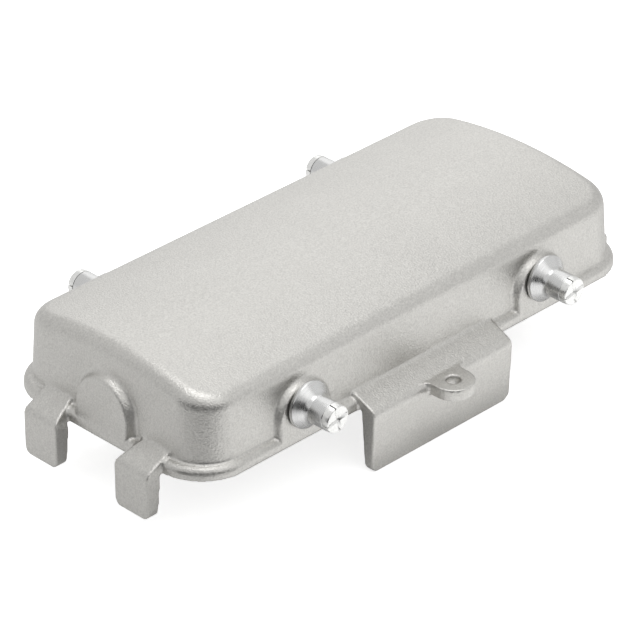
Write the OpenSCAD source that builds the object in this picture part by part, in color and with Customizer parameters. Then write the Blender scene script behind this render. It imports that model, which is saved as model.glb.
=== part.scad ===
// Protective cover for the opening of a rectangular connector housing.
// One casting (a crowned, drafted hood on a flat rim) and a turned sleeve on each of its four pegs.
// Millimetres: X runs along the hood, Y across it, Z up; Z = 0 is the sealing face under the rim.

/* [Rim] */
// Length of the rim over its flat ends
rim_length = 93.5; // [84:0.5:120]
// Width of the rim over its flat sides
rim_width = 43; // [42:0.5:50]
// Corner radius of the rim, seen from above
rim_corner_r = 8.3; // [7.4:0.1:9]
// Height of the ledge above the sealing face
rim_height = 2; // [1.8:0.1:2.4]
// Rounding of the rim's upper edge
rim_edge_r = 1.2; // [0.6:0.05:1.2]

/* [Dome] */
// Width of the ledge in front of the dome at each end
end_ledge = 1.55; // [1.2:0.05:2]
// Width of the ledge in front of the dome along each side
side_ledge = 1.1; // [1.1:0.05:1.5]
// Radius of the dome's upright corners at the sealing face
dome_corner_r = 6.7; // [6:0.1:8]
// Height of the long upper edges above the sealing face
side_height = 11.85; // [11:0.05:16]
// Rise of the crown from the long edges to the middle line
crown_rise = 2.8; // [1.5:0.05:3.5]
// Inward lean of all cast walls, in degrees
draft = 3.4; // [1:0.1:4]
// Rounding of the upper edge
edge_r = 2.5; // [1.5:0.1:2.6]
// Wall thickness
wall = 2.4; // [2:0.1:2.6]

/* [Arch pads] */
// Radius of the side pads' round tops, at their faces
side_arch_r = 5.1; // [4.6:0.1:5.4]
// Height of the side pads' round centres up the wall
side_arch_z = 3.7; // [3.4:0.1:4]
// Thickness of the pads on the long sides
side_pad = 1.1; // [0.8:0.05:1.1]
// Radius of the end pads' round tops, at their faces
end_arch_r = 5.35; // [4.8:0.05:5.7]
// Height of the end pads' round centres up the wall
end_arch_z = 4; // [3.6:0.1:4.2]
// Thickness of the pads at the ends
end_pad = 1.35; // [0.8:0.05:1.5]
// Slant of the pads' flanks, in degrees
pad_flank = 28; // [15:1:35]
// Rounding of the pads' outer edges
pad_edge_r = 0.3; // [0.1:0.05:0.4]
// Fillet between the pads and the wall
pad_fillet_r = 0.5; // [0.2:0.05:0.6]

/* [Pegs] */
// Distance between the pegs of one side
peg_spacing = 50.8; // [48:0.1:52]
// Height of the pegs above the sealing face
peg_z = 5.9; // [5.5:0.05:6.2]
// Length of a peg from the rim's face to its end
peg_reach = 6.2; // [5.8:0.1:7]
// Diameter of the cast stub inside the sleeve
stub_d = 3.2; // [2.8:0.1:3.4]
// Diameter of the stub's staked head
head_d = 4.4; // [4.2:0.1:4.5]
// Thickness of the staked head
head_t = 1.1; // [0.8:0.1:1.4]
// Depth of the four chisel notches in the head
notch_depth = 0.75; // [0.4:0.05:0.8]
// Opening of the notches, in degrees
notch_angle = 60; // [40:5:80]
// Depth of the chisel cross in the head's end
cross_depth = 0.4; // [0.2:0.05:0.5]
// Turn of the notches and the cross about the peg, in degrees
notch_turn = 12; // [0:1:45]
// Diameter of the seat that the sleeve's collar faces
seat_d = 5.4; // [4.6:0.1:6]
// Height of the seat above the pad around it
seat_t = 0.2; // [0.1:0.05:0.4]

/* [Sleeves] */
// Diameter of the collar
collar_d = 7.6; // [7:0.1:8]
// Thickness of the collar
collar_t = 0.7; // [0.5:0.1:0.9]
// Diameter of the bearing part
sleeve_d = 4.5; // [4.2:0.1:4.8]
// Hollow radius between the collar and the bearing part
shoulder_r = 1.3; // [0.6:0.1:1.3]
// Running clearance on the stub, all round
running_gap = 0.05; // [0.02:0.01:0.1]
// Play at each end of the sleeve
end_gap = 0.1; // [0.05:0.01:0.2]

/* [Guide plates] */
// Width of the plates
plate_width = 29.8; // [26:0.1:32]
// Reach of the plates past the rim's face
plate_reach = 3.4; // [3:0.1:4]
// Length of the plates below the sealing face
plate_drop = 9.9; // [8:0.1:12]
// Lean of the plates' outer faces, in degrees
plate_lean = 3; // [0:0.5:4]
// Gap between the rim's face line and the plate behind it
plate_gap = 0.55; // [0.4:0.05:0.8]
// Thickness of the plates at their lower edge
plate_tip = 1.55; // [1.4:0.05:1.8]
// Height at which the plates leave the wall
plate_top = 2.6; // [2.4:0.05:3]
// Slope of the plates' shoulders, in degrees
plate_slope = 23; // [18:1:26]
// Outer radius of the plates' bend
plate_bend_r = 1.4; // [1:0.1:2]
// Radius of the plates' lower corners
plate_corner_r = 1.6; // [1:0.1:2.5]

/* [End hooks] */
// Distance from the middle line to the outer side of a hook
hook_outer = 13.2; // [12.8:0.1:13.4]
// Distance from the middle line to the inner side of a hook
hook_inner = 6.3; // [6:0.1:7]
// Turn of the inner side of a hook's shoulder away from the middle line, in degrees
hook_flare = 9; // [4:1:12]
// Lean of the inner side of a hook's shoulder, in degrees
hook_flare_lean = 15; // [8:1:20]
// Reach of the hooks past the rim's face
hook_reach = 2.9; // [2.4:0.1:3.1]
// Length of the hooks below the sealing face
hook_drop = 7.2; // [6:0.1:9]
// Lean of the hooks' outer faces, in degrees
hook_lean = 0.5; // [0:0.5:4]
// Gap between the rim's face line and the hook behind it
hook_gap = 0.05; // [0.05:0.05:0.4]
// Thickness of the hooks at their lower edge
hook_tip = 2.1; // [1.6:0.05:2.2]
// Height at which the hooks leave the wall
hook_top = 2.7; // [2.4:0.05:3]
// Slope of the hooks' shoulders, in degrees
hook_slope = 27; // [20:1:28]
// Outer radius of the hooks' bend
hook_bend_r = 1.6; // [1:0.1:1.8]
// Radius of the hooks' lower corners
hook_corner_r = 1.3; // [0.8:0.1:2]

/* [Cord eye] */
// Outer diameter of the eye
eye_d = 6.7; // [6:0.1:7]
// Diameter of the hole
eye_hole_d = 2.2; // [2:0.1:3]
// Distance of the hole from the rim's face
eye_reach = 5.05; // [4.8:0.05:6]
// Height of the eye's upper face above the sealing face
eye_top = 1.1; // [0.8:0.05:1.2]
// Thickness of the eye
eye_t = 1.9; // [1.6:0.1:2.4]
// Fillet of the eye's sides where they meet the plate
eye_fillet_r = 1; // [0.6:0.1:1.4]
// Chamfer round the hole
eye_chamfer = 0.1; // [0.05:0.05:0.3]

/* [Hidden] */
$fn = 64;
// Half sizes of the dome at the sealing face, and the axes of its corners
foot_x = rim_length / 2 - end_ledge;
foot_y = rim_width / 2 - side_ledge;
corner_x = foot_x - dome_corner_r;
corner_y = foot_y - dome_corner_r;
// Crown: an arc across the width, about an axis far below the sealing face
crown_r = (foot_y * foot_y + crown_rise * crown_rise) / (2 * crown_rise);
crown_axis_z = side_height + crown_rise - crown_r;
// Facets of the dome's rounded edge in each corner, and strips across the crown
corner_steps = 10;
crown_steps = 20;
// How deep added features are rooted in the wall
root = wall / 2;
// Rounding of the plates' and hooks' lower edges
leg_edge_r = 0.35;
// Flats in each rounding of a plate's or hook's section
leg_steps = 8;
// Height of the underside between the rim and a plate or hook
leg_soffit = 0.25;
// Narrowing of a staked head towards its end
head_taper = 0.2;
// Sleeve: its seat and start, measured from the middle plane, its length and its bore
seat_y = foot_y - peg_z * tan(draft) + side_pad / cos(draft) + seat_t;
sleeve_y = seat_y + end_gap;
sleeve_length = rim_width / 2 + peg_reach - head_t - end_gap - sleeve_y;
sleeve_bore_r = stub_d / 2 + running_gap;

// Helpers for outlines with exact rounded corners
function unit(v) = v / norm(v);
function half_angle(a, b, c) = acos(unit(a - b) * unit(c - b)) / 2;
function cut_corner(a, b, c, r) =
    r == 0 ? [b]
    : let (t = abs(r) / tan(half_angle(a, b, c)))
      [b + t * unit(a - b), b + t * unit(c - b)];
function corner_centre(a, b, c, r) =
    b + unit(unit(a - b) + unit(c - b)) * abs(r) / sin(half_angle(a, b, c));

// Points along a corner's arc, in short flats
function corner_arc(a, b, c, r) =
    r == 0 ? [b]
    : let (centre = corner_centre(a, b, c, r),
           ends = cut_corner(a, b, c, r),
           start = ends[0] - centre,
           end = ends[1] - centre,
           step = sign(cross(start, end)) * acos(unit(start) * unit(end)) / leg_steps)
      [for (i = [0:leg_steps])
           centre + [start.x * cos(i * step) - start.y * sin(i * step),
                     start.x * sin(i * step) + start.y * cos(i * step)]];

// Piece between a corner's arc and a chord a little under its ends
module corner_cap(a, b, c, r) {
    centre = corner_centre(a, b, c, r);
    ends = cut_corner(a, b, c, r);
    intersection() {
        translate(centre)
            circle(abs(r));
        polygon([b + 1.1 * (ends[0] - b), 2 * b - centre, b + 1.1 * (ends[1] - b)]);
    }
}

// Outline through the points, each corner with its own radius: above zero rounds an outer corner,
// below zero fills an inner corner
module rounded_outline(points, radii) {
    n = len(points);
    before = [for (i = [0:n - 1]) points[(i + n - 1) % n]];
    after = [for (i = [0:n - 1]) points[(i + 1) % n]];
    difference() {
        union() {
            polygon([for (i = [0:n - 1]) each cut_corner(before[i], points[i], after[i], radii[i])]);
            for (i = [0:n - 1])
                if (radii[i] > 0)
                    corner_cap(before[i], points[i], after[i], radii[i]);
        }
        for (i = [0:n - 1])
            if (radii[i] < 0)
                corner_cap(before[i], points[i], after[i], radii[i]);
    }
}

// Sweep of a profile round a rectangle with rounded corners; profile x is measured from the corner axis
module swept_round(x, y) {
    corners = [[x, y], [-x, y], [-x, -y], [x, -y]];
    for (k = [0:3])
        translate(corners[k])
            rotate([0, 0, 90 * k]) {
                rotate_extrude(angle = 90)
                    children();
                rotate([90, 0, 0])
                    linear_extrude(k % 2 == 0 ? 2 * y : 2 * x)
                        children();
            }
}

// Centre of the rounding ball under the crown, and its distance from the corner axis
function edge_z(y) = crown_axis_z + sqrt(pow(crown_r - edge_r, 2) - y * y);
function edge_out(y) = dome_corner_r - edge_z(y) * tan(draft) - edge_r;
function corner_ball(a) =
    let (y = corner_y + edge_out(corner_y) * sin(a))
    [corner_x + edge_out(y) * cos(a), y, edge_z(y)];
function end_ball(y) = [corner_x + edge_out(y), y, edge_z(y)];

// Outside of the dome: drafted walls from a foot outline to an edge rounded by balls under the crown
module dome_outside() {
    hull() {
        for (sx = [-1, 1], sy = [-1, 1]) {
            translate([sx * corner_x, sy * corner_y, 0])
                cylinder(r = dome_corner_r, h = 0.1, $fn = 4 * corner_steps);
            for (i = [0:corner_steps]) {
                p = corner_ball(90 * i / corner_steps);
                translate([sx * p.x, sy * p.y, p.z])
                    sphere(edge_r, $fn = 4 * corner_steps);
            }
        }
        for (sx = [-1, 1], i = [1:crown_steps - 1]) {
            p = end_ball(corner_y * (2 * i / crown_steps - 1));
            translate([sx * p.x, p.y, p.z])
                sphere(edge_r, $fn = 4 * corner_steps);
        }
    }
}

// Inside of the dome: drafted walls with round corners, closed by an arc parallel to the crown
module dome_inside() {
    low = -1;
    high = side_height + crown_rise;
    r = dome_corner_r - wall;
    r_low = r - low * tan(draft);
    r_high = r - high * tan(draft);
    intersection() {
        union() {
            rotate([90, 0, 90])
                translate([0, 0, -corner_x])
                    linear_extrude(2 * corner_x)
                        polygon([[-corner_y - r_low, low], [corner_y + r_low, low],
                                 [corner_y + r_high, high], [-corner_y - r_high, high]]);
            rotate([90, 0, 0])
                translate([0, 0, -corner_y])
                    linear_extrude(2 * corner_y)
                        polygon([[-corner_x - r_low, low], [corner_x + r_low, low],
                                 [corner_x + r_high, high], [-corner_x - r_high, high]]);
            for (sx = [-1, 1], sy = [-1, 1])
                translate([sx * corner_x, sy * corner_y, low])
                    cylinder(r1 = r_low, r2 = r_high, h = high - low);
        }
        translate([0, 0, crown_axis_z])
            rotate([0, 90, 0])
                cylinder(r = crown_r - wall, h = rim_length, center = true, $fn = 360);
    }
}

// Rim: a band with a round upper edge
module rim() {
    inner = rim_corner_r - side_ledge - root;
    swept_round(rim_length / 2 - rim_corner_r, rim_width / 2 - rim_corner_r)
        rounded_outline([[inner, 0], [rim_corner_r, 0], [rim_corner_r, rim_height], [inner, rim_height]],
                        [0, 0, rim_edge_r, 0]);
}

// Section of an arch pad: width along x, thickness out from the wall along y
module pad_section(face_r, thickness) {
    base_r = face_r + thickness * tan(pad_flank);
    flare = base_r + pad_fillet_r;
    rounded_outline([[-flare, -root], [flare, -root], [flare, 0], [base_r, 0], [face_r, thickness],
                     [-face_r, thickness], [-base_r, 0], [-flare, 0]],
                    [0, 0, 0, -pad_fillet_r, pad_edge_r, pad_edge_r, -pad_fillet_r, 0]);
}

// Pad with a half-round top, standing on the rim and leaning with the wall behind it
module arch_pad(wall_y, face_r, arch_z, thickness) {
    low = rim_height / 2;
    translate([0, -wall_y, 0])
        rotate([-draft, 0, 0]) {
            translate([0, 0, arch_z])
                rotate([90, 0, 0])
                    rotate_extrude(angle = 180)
                        intersection() {
                            pad_section(face_r, thickness);
                            translate([0, -wall])
                                square(2 * rim_width);
                        }
            translate([0, 0, low])
                linear_extrude(arch_z - low)
                    rotate(180)
                        pad_section(face_r, thickness);
        }
}

// Frame of a peg: origin on its axis at the middle plane, z pointing out of the wall
module at_peg(sx, sy) {
    translate([sx * peg_spacing / 2, 0, peg_z])
        rotate([sy < 0 ? 90 : -90, 0, 0])
            children();
}

// Cast stub of a peg with the collar's seat and the staked head that keeps the sleeve on
module peg_stub() {
    inside = foot_y - root;
    head_y = sleeve_y + sleeve_length + end_gap;
    translate([0, 0, inside])
        cylinder(d = seat_d, h = seat_y - inside);
    translate([0, 0, inside])
        cylinder(d = stub_d, h = head_y + head_t / 2 - inside);
    difference() {
        translate([0, 0, head_y])
            rotate_extrude()
                rounded_outline([[0, 0], [head_d / 2, 0], [head_d / 2 - head_taper, head_t], [0, head_t]],
                                [0, 0, 0.2, 0]);
        for (a = [0:90:270])
            rotate([0, 0, notch_turn + a])
                translate([head_d / 2 - notch_depth, 0, head_y - head_t])
                    rotate([0, 0, -notch_angle / 2])
                        rotate_extrude(angle = notch_angle)
                            square([head_d, 3 * head_t]);
        for (a = [0, 90])
            translate([0, 0, head_y + head_t])
                rotate([45, 0, notch_turn + a])
                    cube([2 * head_d, sqrt(2) * cross_depth, sqrt(2) * cross_depth], center = true);
    }
}

// Bent leg section shared by plates and hooks: x out from the rim's face, y up
module leg_section(reach, drop, lean, gap, tip, ledge, top, slope, bend_r) {
    foot = reach - drop * tan(lean);
    back = -ledge - root;
    crest = top - tan(slope) * (reach + ledge);
    points = [[foot - tip, -drop], [foot, -drop], [reach, crest],
              [back, top + tan(slope) * root], [back, leg_soffit], [gap, leg_soffit]];
    radii = [leg_edge_r, leg_edge_r, bend_r, 0, 0, 0];
    polygon([for (i = [0:5])
                 each corner_arc(points[(i + 5) % 6], points[i], points[(i + 1) % 6], radii[i])]);
}

// Guide plate on the front side: bent section, cut to a front outline with round lower corners
module guide_plate() {
    half = plate_width / 2;
    intersection() {
        translate([half + 1, -rim_width / 2, 0])
            rotate([90, 0, -90])
                linear_extrude(plate_width + 2)
                    leg_section(plate_reach, plate_drop, plate_lean, plate_gap, plate_tip, side_ledge,
                                plate_top, plate_slope, plate_bend_r);
        rotate([90, 0, 0])
            linear_extrude(rim_width)
                rounded_outline([[-half, -plate_drop], [half, -plate_drop],
                                 [half, side_height], [-half, side_height]],
                                [plate_corner_r, plate_corner_r, 0, 0]);
    }
}

// End hook beside the middle line: bent section, round lower corners, shoulder relieved towards the wall
module end_hook() {
    crest = hook_top - tan(hook_slope) * (hook_reach + end_ledge);
    difference() {
        intersection() {
            translate([rim_length / 2, hook_outer + 1, 0])
                rotate([90, 0, 0])
                    linear_extrude(hook_outer)
                        leg_section(hook_reach, hook_drop, hook_lean, hook_gap, hook_tip, end_ledge,
                                    hook_top, hook_slope, hook_bend_r);
            rotate([90, 0, 90])
                linear_extrude(rim_length)
                    rounded_outline([[hook_inner, -hook_drop], [hook_outer, -hook_drop],
                                     [hook_outer, side_height], [hook_inner, side_height]],
                                    [hook_corner_r, hook_corner_r, 0, 0]);
        }
        translate([rim_length / 2 + hook_reach, hook_inner, crest])
            rotate([-hook_flare_lean, 0, -hook_flare])
                translate([-rim_width / 2, -hook_inner, -rim_width / 2])
                    cube([rim_width, hook_inner, rim_width]);
    }
}

// Eye for a cord on the front plate: a round lug with straight sides, filleted where they meet the plate's bend
module cord_eye() {
    r = eye_d / 2;
    flare = r + eye_fillet_r;
    hole_y = -rim_width / 2 - eye_reach;
    root_y = -rim_width / 2 - plate_reach + plate_bend_r / 2;
    back_y = -rim_width / 2 - plate_gap - plate_tip / 2;
    translate([0, 0, eye_top - eye_t])
        linear_extrude(eye_t) {
            translate([0, hole_y])
                circle(r);
            rounded_outline([[-r, hole_y], [r, hole_y], [r, root_y], [flare, root_y],
                             [flare, back_y], [-flare, back_y], [-flare, root_y], [-r, root_y]],
                            [0, 0, -eye_fillet_r, 0, 0, 0, 0, -eye_fillet_r]);
        }
}

// Hole of the eye with a chamfer at both faces
module cord_hole() {
    r = eye_hole_d / 2;
    translate([0, -rim_width / 2 - eye_reach, eye_top - eye_t])
        rotate_extrude()
            polygon([[0, -1], [r + eye_chamfer + 1, -1], [r, eye_chamfer], [r, eye_t - eye_chamfer],
                     [r + eye_chamfer + 1, eye_t + 1], [0, eye_t + 1]]);
}

// Die-cast cover: dome, rim, pads, pegs, plates, hooks and eye, hollow underneath
module cover_body() {
    color("lightgray")
        difference() {
            union() {
                dome_outside();
                rim();
                for (turn = [0, 180])
                    rotate([0, 0, turn]) {
                        for (sx = [-1, 1])
                            translate([sx * peg_spacing / 2, 0, 0])
                                arch_pad(foot_y, side_arch_r, side_arch_z, side_pad);
                        guide_plate();
                        rotate([0, 0, 90])
                            arch_pad(foot_x, end_arch_r, end_arch_z, end_pad);
                        for (side = [0, 1])
                            mirror([0, side, 0])
                                end_hook();
                    }
                for (sx = [-1, 1], sy = [-1, 1])
                    at_peg(sx, sy)
                        peg_stub();
                cord_eye();
            }
            dome_inside();
            cord_hole();
        }
}

// Turned sleeve that rolls on a peg: thin collar, hollow shoulder, plain bearing part
module peg_sleeve(sx, sy) {
    color("silver")
        at_peg(sx, sy)
            translate([0, 0, sleeve_y])
                rotate_extrude()
                    rounded_outline([[sleeve_bore_r, 0], [collar_d / 2, 0], [collar_d / 2, collar_t],
                                     [sleeve_d / 2, collar_t], [sleeve_d / 2, sleeve_length],
                                     [sleeve_bore_r, sleeve_length]],
                                    [0, 0.15, 0.15, -shoulder_r, 0.15, 0]);
}

module peg_sleeve_front_left() peg_sleeve(-1, -1);
module peg_sleeve_front_right() peg_sleeve(1, -1);
module peg_sleeve_rear_left() peg_sleeve(-1, 1);
module peg_sleeve_rear_right() peg_sleeve(1, 1);

cover_body();
peg_sleeve_front_left();
peg_sleeve_front_right();
peg_sleeve_rear_left();
peg_sleeve_rear_right();
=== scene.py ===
"""Studio picture of a cast connector cover.

The casting has a crowned hood, a flat rim, guide plates, end hooks, a cord eye and four pegs with staked
ends. A turned steel sleeve sits on each peg.
"""
import math

import bmesh
import bpy
from mathutils import Matrix, Vector


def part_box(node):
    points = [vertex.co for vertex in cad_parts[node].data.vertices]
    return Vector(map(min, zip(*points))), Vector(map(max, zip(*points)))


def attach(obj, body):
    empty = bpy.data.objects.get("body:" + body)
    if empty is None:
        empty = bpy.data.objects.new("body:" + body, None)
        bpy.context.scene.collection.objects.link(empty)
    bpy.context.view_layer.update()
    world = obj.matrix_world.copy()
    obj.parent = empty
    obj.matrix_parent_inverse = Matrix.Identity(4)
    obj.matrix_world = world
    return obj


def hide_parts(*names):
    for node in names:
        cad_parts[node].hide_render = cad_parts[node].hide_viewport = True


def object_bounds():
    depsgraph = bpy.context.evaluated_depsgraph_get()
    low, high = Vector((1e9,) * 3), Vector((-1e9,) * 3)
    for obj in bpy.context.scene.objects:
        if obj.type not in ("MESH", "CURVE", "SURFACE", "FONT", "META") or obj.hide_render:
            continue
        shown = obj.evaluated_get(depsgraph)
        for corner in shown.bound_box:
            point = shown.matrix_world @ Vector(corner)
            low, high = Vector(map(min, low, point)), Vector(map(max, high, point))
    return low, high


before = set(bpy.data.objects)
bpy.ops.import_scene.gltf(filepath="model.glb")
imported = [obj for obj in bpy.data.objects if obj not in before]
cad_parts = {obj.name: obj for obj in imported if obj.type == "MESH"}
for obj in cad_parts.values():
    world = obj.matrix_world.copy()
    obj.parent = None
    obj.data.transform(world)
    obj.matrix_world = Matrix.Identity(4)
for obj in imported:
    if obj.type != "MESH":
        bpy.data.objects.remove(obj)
cad_low, cad_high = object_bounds()

MM = 0.001
scene = bpy.context.scene
scene.view_settings.view_transform = "Standard"

# Points nearer to each other than the first are one point; points nearer to a cut than the second lie in it
SAME_POINT = 0.001 * MM
IN_PLANE = 0.0001 * MM

# Casting: voxel of its skin, strength and number of the passes that round its edges, most triangles it keeps
SKIN_VOXEL = 0.22 * MM
SKIN_FACTOR = 0.5
SKIN_PASSES = 3
SKIN_TRIANGLES = 190000

# Turned sleeves, with sizes that the frame's boxes don't give
SLEEVES = ("peg_sleeve_front_left", "peg_sleeve_front_right", "peg_sleeve_rear_left", "peg_sleeve_rear_right")
BORE_RADIUS = 1.65 * MM
BEARING_RADIUS = 2.25 * MM
COLLAR_THICKNESS = 0.6 * MM
SHOULDER_LENGTH = 1.4 * MM
SHOULDER_BLEND = 0.5 * MM
BLEND_SEGMENTS = 8
TURNED_EDGE = 0.12 * MM
EDGE_SEGMENTS = 3
TURNED_STEPS = 128

# Staked peg ends: four lobes with a chisel cross, which start just past the sleeve
HEAD_RADIUS = 2.26 * MM
HEAD_TAPER = 0.12 * MM
HEAD_EDGE = 0.18 * MM
HEAD_PLAY = 0.03 * MM
HEAD_TURN = 12
HEAD_STEPS = 64
CUT_WIDTH = 0.32 * MM
CUT_DEPTH = 0.3 * MM
NOTCH_DEPTH = 0.5 * MM
# Points on the cross's lines sink into the cuts when this near the end, and into the notches when this near
# the side
CUT_ZONE = 2 * HEAD_EDGE
NOTCH_ZONE = 3 * HEAD_TAPER
# Edges of a head that turn more than this, in degrees, are shaded sharp
SHARP_TURN = 30
# The pegs stand further along the cover than this
PEG_BAY = 20 * MM

# Noise values that are mapped to the two ends of a range
NOISE_LOW = 0.3
NOISE_HIGH = 0.7

# Blasted aluminium: scale and detail of its three grains, how much each shades the metal and about which
# shade, the darkest and the lightest colour, roughness, and the relief with the coarse grain's share in it
BLAST_FINE = 3800
BLAST_COARSE = 1500
BLAST_CLOUD = 120
FINE_DETAIL = 1.0
COARSE_DETAIL = 2.0
FINE_SHADE = 0.14
COARSE_SHADE = 0.05
CLOUD_SHADE = 0.02
MIDDLE_SHADE = 0.5
BLAST_DARK = (0.385, 0.379, 0.363, 1.0)
BLAST_LIGHT = (0.77, 0.758, 0.726, 1.0)
BLAST_ROUGHNESS = (0.36, 0.46)
BLAST_STRENGTH = 1.0
BLAST_HEIGHT = 0.06 * MM
COARSE_SHARE = 0.3

# Bare aluminium of the staked ends: scale and detail of the smears, their colours, roughness and relief
SMEAR_SCALE = 2600
SMEAR_DETAIL = 2.0
SMEAR_DARK = (0.66, 0.66, 0.65, 1.0)
SMEAR_LIGHT = (1.0, 1.0, 0.98, 1.0)
SMEAR_ROUGHNESS = (0.24, 0.38)
SMEAR_STRENGTH = 0.6
SMEAR_HEIGHT = 0.05 * MM

# Turned steel: colour, scale and detail of the rings, their stretch round the axis, roughness and relief
STEEL_COLOUR = (0.66, 0.66, 0.655, 1.0)
RING_SCALE = 9000
RING_DETAIL = 2.0
RING_STRETCH = (0.04, 1.0, 0.04)
RING_ROUGHNESS = (0.22, 0.34)
RING_STRENGTH = 0.3
RING_HEIGHT = 0.02 * MM

# Table: its reach from the middle in metres, its acrylic, and the glow that lifts it for the camera and in
# reflections
TABLE_REACH = 3.0
TABLE_COLOUR = (0.8, 0.8, 0.8, 1.0)
TABLE_ROUGHNESS = 0.1
GLOW_SEEN = 0.75
GLOW_MIRRORED = 0.09

# Dark flag that stands on the table by the camera: azimuth in degrees, then distance, width and height in
# metres, and its colour
FLAG = (225, 0.12, 0.3, 0.05)
FLAG_COLOUR = (0.03, 0.03, 0.03, 1.0)

# Light of the plain room
ROOM_COLOUR = (1.0, 1.0, 1.0, 1.0)
ROOM_LIGHT = 0.78

# Softboxes: azimuth from +X towards +Y and elevation in degrees, distance and side in metres, power in watts
SOFTBOXES = {
    "top_light": (0, 88, 0.9, 0.5, 1.7),
    "back_light": (45, 50, 0.9, 0.5, 0.36),
    "low_back_light": (45, 20, 0.9, 0.5, 0.38),
    "front_light": (-90, 50, 0.9, 0.6, 0.7),
    "low_front_light": (-45, 8, 0.9, 1.1, 0.4),
}

# Flat lamp just over the table: middle along X and Y, width and depth in metres, power in watts
BOUNCE = (0.075, -0.1082, 0.25, 0.16, 0.044)
BOUNCE_LIFT = 0.3 * MM

# Camera: where it stands, where it looks, its lens and film in millimetres, and its range in metres
CAMERA_PLACE = Vector((-383.41, -379.98, 323.64)) * MM
CAMERA_AIM = Vector((0.608283, 0.604817, -0.514162))
CAMERA_LENS = 233.06
CAMERA_FILM = 36.0
CAMERA_NEAR = 0.01
CAMERA_FAR = 20.0


def link(tree, *pairs):
    """Joins sockets of a node tree, each pair from an output to an input."""
    for source, target in pairs:
        tree.links.new(source, target)


def empty_material(name):
    """A material with an output node only, as (material, tree, output)."""
    material = bpy.data.materials.new(name)
    material.use_nodes = True
    tree = material.node_tree
    tree.nodes.clear()
    return material, tree, tree.nodes.new("ShaderNodeOutputMaterial")


def metal(name):
    """A plain metal, as (material, tree, shader, Object coordinates)."""
    material, tree, output = empty_material(name)
    shader = tree.nodes.new("ShaderNodeBsdfPrincipled")
    shader.inputs["Metallic"].default_value = 1.0
    link(tree, (shader.outputs["BSDF"], output.inputs["Surface"]))
    return material, tree, shader, tree.nodes.new("ShaderNodeTexCoord").outputs["Object"]


def grain(tree, place, scale, detail):
    """Noise at a place, with features of about 1 / scale metres."""
    noise = tree.nodes.new("ShaderNodeTexNoise")
    noise.inputs["Scale"].default_value = scale
    noise.inputs["Detail"].default_value = detail
    link(tree, (place, noise.inputs["Vector"]))
    return noise.outputs["Fac"]


def spread(tree, value, low, high):
    """Maps a noise value to the range low to high."""
    node = tree.nodes.new("ShaderNodeMapRange")
    node.inputs["From Min"].default_value = NOISE_LOW
    node.inputs["From Max"].default_value = NOISE_HIGH
    node.inputs["To Min"].default_value = low
    node.inputs["To Max"].default_value = high
    link(tree, (value, node.inputs["Value"]))
    return node.outputs["Result"]


def reckon(tree, first, second, operation="ADD"):
    """Math node on two values; a plain number is set on the socket."""
    node = tree.nodes.new("ShaderNodeMath")
    node.operation = operation
    for socket, value in zip(node.inputs, (first, second)):
        if isinstance(value, (int, float)):
            socket.default_value = value
        else:
            link(tree, (value, socket))
    return node.outputs["Value"]


def tint(tree, shader, value, dark, light):
    """Colours a shader from dark to light as the value goes from 0 to 1."""
    ramp = tree.nodes.new("ShaderNodeValToRGB")
    ramp.color_ramp.elements[0].color = dark
    ramp.color_ramp.elements[1].color = light
    link(tree, (value, ramp.inputs["Fac"]), (ramp.outputs["Color"], shader.inputs["Base Color"]))


def emboss(tree, shader, relief, strength, height):
    """Gives a shader the bump of a relief."""
    bump = tree.nodes.new("ShaderNodeBump")
    bump.inputs["Strength"].default_value = strength
    bump.inputs["Distance"].default_value = height
    link(tree, (relief, bump.inputs["Height"]), (bump.outputs["Normal"], shader.inputs["Normal"]))


def blasted_aluminium():
    """Die-cast aluminium with the fine even grain of shot blasting."""
    material, tree, shader, place = metal("blasted_aluminium")
    fine = grain(tree, place, BLAST_FINE, FINE_DETAIL)
    coarse = grain(tree, place, BLAST_COARSE, COARSE_DETAIL)
    cloud = grain(tree, place, BLAST_CLOUD, COARSE_DETAIL)

    shade = reckon(tree, spread(tree, fine, -FINE_SHADE, FINE_SHADE),
                   spread(tree, coarse, -COARSE_SHADE, COARSE_SHADE))
    shade = reckon(tree, shade, spread(tree, cloud, -CLOUD_SHADE, CLOUD_SHADE))
    shade = reckon(tree, shade, MIDDLE_SHADE)
    tint(tree, shader, shade, BLAST_DARK, BLAST_LIGHT)
    link(tree, (spread(tree, coarse, *BLAST_ROUGHNESS), shader.inputs["Roughness"]))

    relief = reckon(tree, fine, reckon(tree, coarse, COARSE_SHARE, "MULTIPLY"))
    emboss(tree, shader, relief, BLAST_STRENGTH, BLAST_HEIGHT)
    return material


def bare_aluminium():
    """Bright aluminium where a chisel has spread the peg ends."""
    material, tree, shader, place = metal("bare_aluminium")
    smear = grain(tree, place, SMEAR_SCALE, SMEAR_DETAIL)
    tint(tree, shader, smear, SMEAR_DARK, SMEAR_LIGHT)
    link(tree, (spread(tree, smear, *SMEAR_ROUGHNESS), shader.inputs["Roughness"]))
    emboss(tree, shader, smear, SMEAR_STRENGTH, SMEAR_HEIGHT)
    return material


def turned_steel():
    """Bright turned stainless steel: fine rings round the peg's axis."""
    material, tree, shader, place = metal("turned_steel")
    shader.inputs["Base Color"].default_value = STEEL_COLOUR
    stretch = tree.nodes.new("ShaderNodeMapping")
    stretch.inputs["Scale"].default_value = RING_STRETCH
    link(tree, (place, stretch.inputs["Vector"]))
    rings = grain(tree, stretch.outputs["Vector"], RING_SCALE, RING_DETAIL)
    link(tree, (spread(tree, rings, *RING_ROUGHNESS), shader.inputs["Roughness"]))
    emboss(tree, shader, rings, RING_STRENGTH, RING_HEIGHT)
    return material


def new_piece(name, mesh, material):
    """A shown object at the origin with its place in its mesh."""
    mesh.materials.clear()
    mesh.materials.append(material)
    piece = bpy.data.objects.new(name, mesh)
    scene.collection.objects.link(piece)
    return piece


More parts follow.
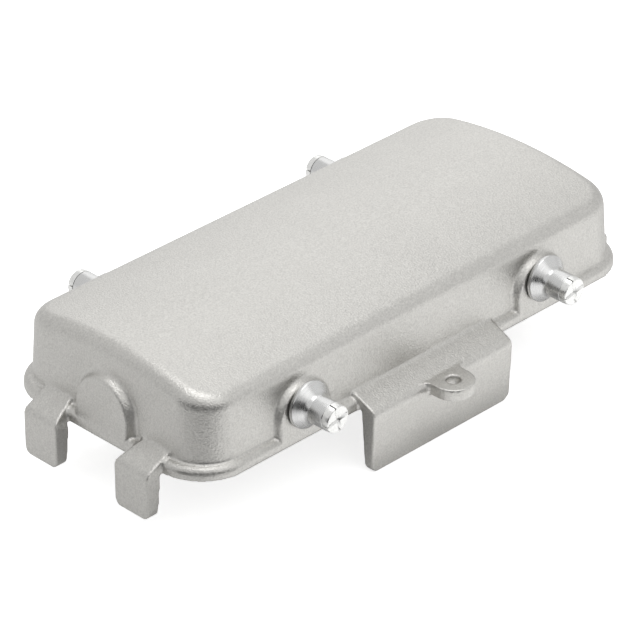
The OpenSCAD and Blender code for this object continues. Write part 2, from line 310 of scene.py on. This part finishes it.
def settle(piece, material):
    """Makes what a piece's modifiers give its own mesh."""
    graph = bpy.context.evaluated_depsgraph_get()
    mesh = bpy.data.meshes.new_from_object(piece.evaluated_get(graph))
    piece.modifiers.clear()
    mesh.materials.clear()
    mesh.materials.append(material)
    piece.data = mesh


def cut_back_pegs(shell):
    """Takes the staked ends off the casting's shell, because they are pieces of their own."""
    _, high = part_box("peg_sleeve_rear_left")
    stub_end = high.y + HEAD_PLAY
    for side in (-1, 1):
        pegs = [face for face in shell.faces
                if all(abs(vert.co.x) > PEG_BAY for vert in face.verts)
                and any(side * vert.co.y > stub_end for vert in face.verts)]
        edges = {edge for face in pegs for edge in face.edges}
        verts = {vert for face in pegs for vert in face.verts}
        bmesh.ops.bisect_plane(shell, geom=[*verts, *edges, *pegs], dist=IN_PLANE,
                               plane_co=(0, side * stub_end, 0), plane_no=(0, side, 0), clear_outer=True)
    bmesh.ops.holes_fill(shell, edges=[edge for edge in shell.edges if edge.is_boundary], sides=0)


def cast_cover(material):
    """The casting: the solid's shape with one even skin, its edges rounded as blasting leaves them."""
    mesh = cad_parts["cover_body"].data.copy()
    shell = bmesh.new()
    shell.from_mesh(mesh)
    bmesh.ops.remove_doubles(shell, verts=shell.verts, dist=SAME_POINT)
    cut_back_pegs(shell)
    shell.to_mesh(mesh)
    shell.free()
    piece = new_piece("cast_cover", mesh, material)

    skin = piece.modifiers.new("skin", "REMESH")
    skin.mode = "VOXEL"
    skin.voxel_size = SKIN_VOXEL
    soft = piece.modifiers.new("soft_edges", "SMOOTH")
    soft.factor = SKIN_FACTOR
    soft.iterations = SKIN_PASSES
    settle(piece, material)

    # The skin's faces have four sides, so each of them counts as two triangles
    thin = piece.modifiers.new("thinning", "DECIMATE")
    thin.ratio = min(1.0, SKIN_TRIANGLES / (2 * len(piece.data.polygons)))
    settle(piece, material)
    piece.data.shade_smooth()

    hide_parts("cover_body")
    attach(piece, "cover")


def peg_sleeve(node, material):
    """A turned sleeve: thin collar by the wall, tapered shoulder and plain bearing part, spun to shape."""
    low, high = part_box(node)
    outward = 1.0 if low.y > 0 else -1.0
    collar_face, end_face = (low.y, high.y) if outward > 0 else (-high.y, -low.y)
    axis_x = (low.x + high.x) / 2
    axis_z = (low.z + high.z) / 2
    collar_radius = (high.x - low.x) / 2
    collar_back = collar_face + COLLAR_THICKNESS

    # Corners of the profile: radius, place along the axis, rounding and its segments
    corners = [
        (BORE_RADIUS, collar_face, 0.0, 0),
        (collar_radius, collar_face, TURNED_EDGE, EDGE_SEGMENTS),
        (collar_radius, collar_back, TURNED_EDGE, EDGE_SEGMENTS),
        (BEARING_RADIUS, collar_back + SHOULDER_LENGTH, SHOULDER_BLEND, BLEND_SEGMENTS),
        (BEARING_RADIUS, end_face, TURNED_EDGE, EDGE_SEGMENTS),
        (BORE_RADIUS, end_face, 0.0, 0),
    ]
    turned = bmesh.new()
    points = [turned.verts.new((radius, along, 0.0)) for radius, along, _, _ in corners]
    for start, end in zip(points, points[1:] + points[:1]):
        turned.edges.new((start, end))
    for (_, _, rounding, segments), point in zip(corners, points):
        if rounding:
            bmesh.ops.bevel(turned, geom=[point], offset=rounding, offset_type="OFFSET", affect="VERTICES",
                            segments=segments, profile=0.5, material=-1)
    bmesh.ops.spin(turned, geom=turned.verts[:] + turned.edges[:], cent=(0, 0, 0), axis=(0, 1, 0),
                   angle=math.tau, steps=TURNED_STEPS, use_merge=True)
    bmesh.ops.remove_doubles(turned, verts=turned.verts, dist=SAME_POINT)
    bmesh.ops.scale(turned, vec=(1, outward, 1), verts=turned.verts)
    bmesh.ops.translate(turned, vec=(axis_x, 0, axis_z), verts=turned.verts)
    bmesh.ops.recalc_face_normals(turned, faces=turned.faces)
    mesh = bpy.data.meshes.new(node)
    turned.to_mesh(mesh)
    turned.free()
    mesh.shade_smooth()
    piece = new_piece("turned_" + node, mesh, material)

    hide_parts(node)
    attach(piece, node.replace("peg_", ""))


def staked_head(node, material):
    """End of a peg spread by a chisel: four lobes with a cross cut in, notched where the cuts run out."""
    low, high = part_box(node)
    outward = 1.0 if low.y > 0 else -1.0
    start = max(abs(low.y), abs(high.y)) + HEAD_PLAY
    height = cad_high.y - start
    middle = ((low.x + high.x) / 2, outward * (start + height / 2), (low.z + high.z) / 2)

    head = bmesh.new()
    bmesh.ops.create_cone(head, cap_ends=True, segments=HEAD_STEPS, radius1=HEAD_RADIUS,
                          radius2=HEAD_RADIUS - HEAD_TAPER, depth=height)
    rim = [edge for edge in head.edges if all(vert.co.z > 0 for vert in edge.verts)]
    bmesh.ops.bevel(head, geom=rim, offset=HEAD_EDGE, offset_type="OFFSET", affect="EDGES",
                    segments=EDGE_SEGMENTS, profile=0.5, material=-1)
    lines = [math.radians(HEAD_TURN), math.radians(HEAD_TURN + 90)]
    for line in lines:
        across = Vector((-math.sin(line), math.cos(line), 0))
        for offset in (-CUT_WIDTH, 0.0, CUT_WIDTH):
            bmesh.ops.bisect_plane(head, geom=head.verts[:] + head.edges[:] + head.faces[:], dist=IN_PLANE,
                                   plane_co=across * offset, plane_no=across)
    for vert in head.verts:
        if min(abs(vert.co.y * math.cos(line) - vert.co.x * math.sin(line)) for line in lines) < SAME_POINT:
            reach = math.hypot(vert.co.x, vert.co.y)
            if vert.co.z > height / 2 - CUT_ZONE:
                vert.co.z -= CUT_DEPTH
            if reach > HEAD_RADIUS - NOTCH_ZONE:
                vert.co.xy *= 1 - NOTCH_DEPTH / reach
    bmesh.ops.rotate(head, matrix=Matrix.Rotation(math.radians(-90 * outward), 3, "X"), verts=head.verts)
    bmesh.ops.translate(head, vec=middle, verts=head.verts)
    mesh = bpy.data.meshes.new("staked_" + node)
    head.to_mesh(mesh)
    head.free()
    mesh.shade_smooth()
    mesh.set_sharp_from_angle(angle=math.radians(SHARP_TURN))
    piece = new_piece(node.replace("peg_sleeve", "staked_head"), mesh, material)

    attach(piece, "cover")


def pale_floor():
    """A wide table of glossy white acrylic under the cover's lowest edges, which keeps its soft shadow."""
    table = bmesh.new()
    bmesh.ops.create_grid(table, x_segments=1, y_segments=1, size=TABLE_REACH)
    bmesh.ops.translate(table, vec=(0, 0, cad_low.z), verts=table.verts)
    mesh = bpy.data.meshes.new("floor")
    table.to_mesh(mesh)
    table.free()

    material, tree, output = empty_material("white_table")
    paint = tree.nodes.new("ShaderNodeBsdfPrincipled")
    paint.inputs["Base Color"].default_value = TABLE_COLOUR
    paint.inputs["Roughness"].default_value = TABLE_ROUGHNESS
    path = tree.nodes.new("ShaderNodeLightPath")
    mirrored = reckon(tree, path.outputs["Is Glossy Ray"], path.outputs["Is Transmission Ray"], "MAXIMUM")
    strength = reckon(tree, reckon(tree, path.outputs["Is Camera Ray"], GLOW_SEEN, "MULTIPLY"),
                      reckon(tree, mirrored, GLOW_MIRRORED, "MULTIPLY"))
    glow = tree.nodes.new("ShaderNodeEmission")
    both = tree.nodes.new("ShaderNodeAddShader")
    link(tree, (strength, glow.inputs["Strength"]), (paint.outputs["BSDF"], both.inputs[0]),
         (glow.outputs["Emission"], both.inputs[1]), (both.outputs["Shader"], output.inputs["Surface"]))
    new_piece("floor", mesh, material)


def dark_flag(azimuth, distance, width, height):
    """A dark card on the table, hidden from the camera, which darkens the near corner by its reflection."""
    # The card starts one metre square
    card = bmesh.new()
    bmesh.ops.create_grid(card, x_segments=1, y_segments=1, size=0.5)
    bmesh.ops.scale(card, vec=(width, height, 1), verts=card.verts)
    bmesh.ops.rotate(card, matrix=Matrix.Rotation(math.radians(90), 3, "X"), verts=card.verts)
    bmesh.ops.translate(card, vec=(0, distance, cad_low.z + height / 2), verts=card.verts)
    bmesh.ops.rotate(card, matrix=Matrix.Rotation(math.radians(azimuth - 90), 3, "Z"), verts=card.verts)
    mesh = bpy.data.meshes.new("dark_flag")
    card.to_mesh(mesh)
    card.free()

    material, tree, output = empty_material("black_card")
    paint = tree.nodes.new("ShaderNodeBsdfDiffuse")
    paint.inputs["Color"].default_value = FLAG_COLOUR
    link(tree, (paint.outputs["BSDF"], output.inputs["Surface"]))
    flag = new_piece("dark_flag", mesh, material)
    flag.visible_camera = False


def plain_room():
    """World: the even light of a pale room."""
    world = bpy.data.worlds.new("plain_room")
    scene.world = world
    world.use_nodes = True
    tree = world.node_tree
    tree.nodes.clear()
    output = tree.nodes.new("ShaderNodeOutputWorld")
    walls = tree.nodes.new("ShaderNodeBackground")
    walls.inputs["Color"].default_value = ROOM_COLOUR
    walls.inputs["Strength"].default_value = ROOM_LIGHT
    link(tree, (walls.outputs["Background"], output.inputs["Surface"]))


def area_lamp(name, width, depth, watts):
    """A flat lamp that the camera doesn't see."""
    lamp = bpy.data.lights.new(name, "AREA")
    lamp.shape = "RECTANGLE"
    lamp.size = width
    lamp.size_y = depth
    lamp.energy = watts
    holder = bpy.data.objects.new(name, lamp)
    holder.visible_camera = False
    scene.collection.objects.link(holder)
    return holder


def softbox(name, azimuth, elevation, distance, side, watts):
    """A square lamp that faces the cover."""
    turn = math.radians(azimuth)
    lift = math.radians(elevation)
    away = Vector((math.cos(turn) * math.cos(lift), math.sin(turn) * math.cos(lift), math.sin(lift)))
    holder = area_lamp(name, side, side, watts)
    holder.location = away * distance
    holder.rotation_euler = away.to_track_quat("Z", "Y").to_euler()


def table_bounce(middle_x, middle_y, width, depth, watts):
    """A lamp just over the table that faces up, for the light which a table throws on the front walls."""
    holder = area_lamp("table_bounce", width, depth, watts)
    holder.location = (middle_x, middle_y, cad_low.z + BOUNCE_LIFT)
    holder.rotation_euler = (math.pi, 0, 0)


def studio_camera():
    """The camera at the photograph's place."""
    lens = bpy.data.cameras.new("camera")
    lens.lens = CAMERA_LENS
    lens.sensor_width = CAMERA_FILM
    lens.clip_start = CAMERA_NEAR
    lens.clip_end = CAMERA_FAR
    camera = bpy.data.objects.new("camera", lens)
    camera.location = CAMERA_PLACE
    camera.rotation_euler = CAMERA_AIM.to_track_quat("-Z", "Y").to_euler()
    scene.collection.objects.link(camera)
    scene.camera = camera


studio_camera()
pale_floor()
dark_flag(*FLAG)
plain_room()
table_bounce(*BOUNCE)
for name, setting in SOFTBOXES.items():
    softbox(name, *setting)

aluminium = blasted_aluminium()
bare_metal = bare_aluminium()
steel = turned_steel()
cast_cover(aluminium)
for node in SLEEVES:
    peg_sleeve(node, steel)
    staked_head(node, bare_metal)
